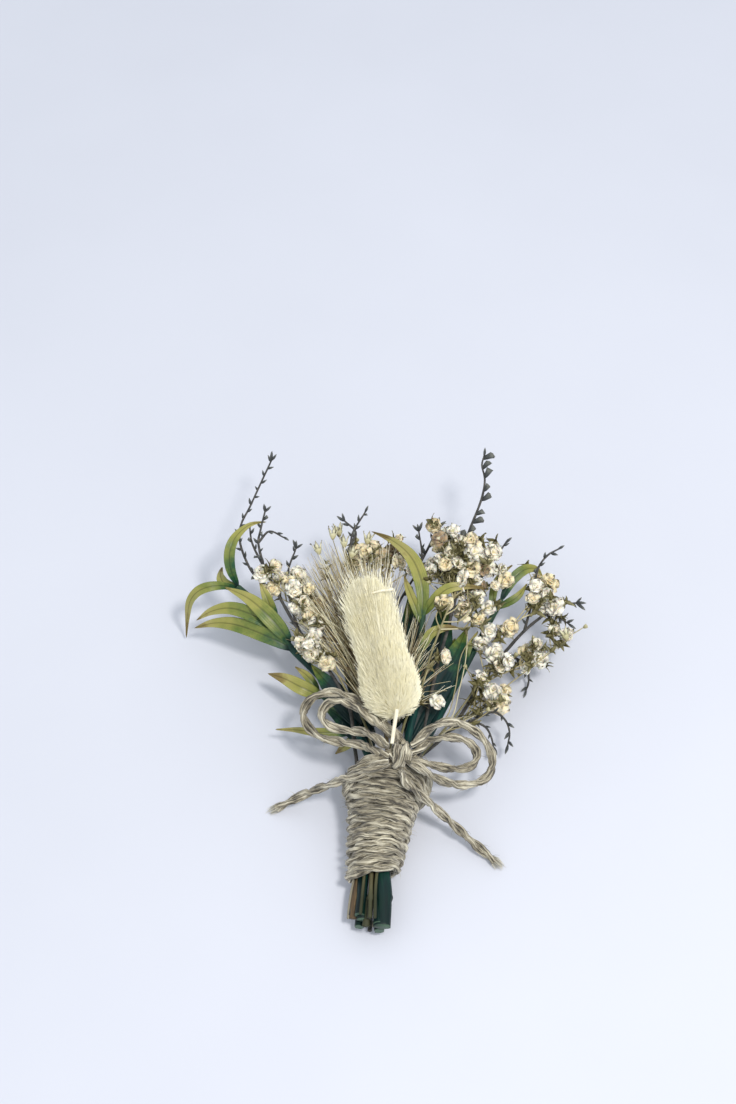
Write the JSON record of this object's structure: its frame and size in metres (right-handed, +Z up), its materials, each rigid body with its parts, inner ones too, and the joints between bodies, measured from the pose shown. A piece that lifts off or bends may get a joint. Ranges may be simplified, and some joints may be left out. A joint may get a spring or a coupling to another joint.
{
  "type": "dried-flower boutonniere",
  "caption": "Small lapel posy lying on its back: dried grass head, baby's breath, sea lavender and long-leaved sprays, bound in a cone of twine with a bow.",
  "frame": {"origin": "middle of the bottom of the box round the part, on the surface it lies on, measured without the free twine of the bow", "axes": "+X to the right across the bunch, +Y along it from the cut stems to the tips, +Z up off the surface, towards the bow"},
  "size_m": [0.0954, 0.1154, 0.0317],
  "materials": {
    "bunny_tail": "soft pale cream hair",
    "straw": "dry golden straw",
    "babys_breath": "dried cream-white flowers on pale tan stalks",
    "sea_lavender": "dry dark grey-brown twig",
    "leaves": "soft gloss, dark teal green turning olive at the tips",
    "twine": "dull two-ply jute twine, taupe"
  },
  "bodies": {
    "root": {"bunny_tail": "bunny_tail", "bearded_grass": "straw", "babys_breath_left": "babys_breath", "babys_breath_top": "babys_breath", "babys_breath_right": "babys_breath", "babys_breath_low_right": "babys_breath", "sea_lavender_left": "sea_lavender", "sea_lavender_top": "sea_lavender", "sea_lavender_tall": "sea_lavender", "sea_lavender_low_right": "sea_lavender", "leafy_spray_left": "leaves", "leafy_spray_low_left": "leaves", "leafy_spray_centre": "leaves", "leafy_spray_right": "leaves", "twine_wrap": "twine", "bow_knot": "twine", "bow_loop_left_outer": "twine", "bow_loop_left_inner": "twine", "bow_loop_right_outer": "twine", "bow_loop_right_inner": "twine", "bow_tail_left": "twine", "bow_tail_right": "twine"}
  },
  "joints": []
}
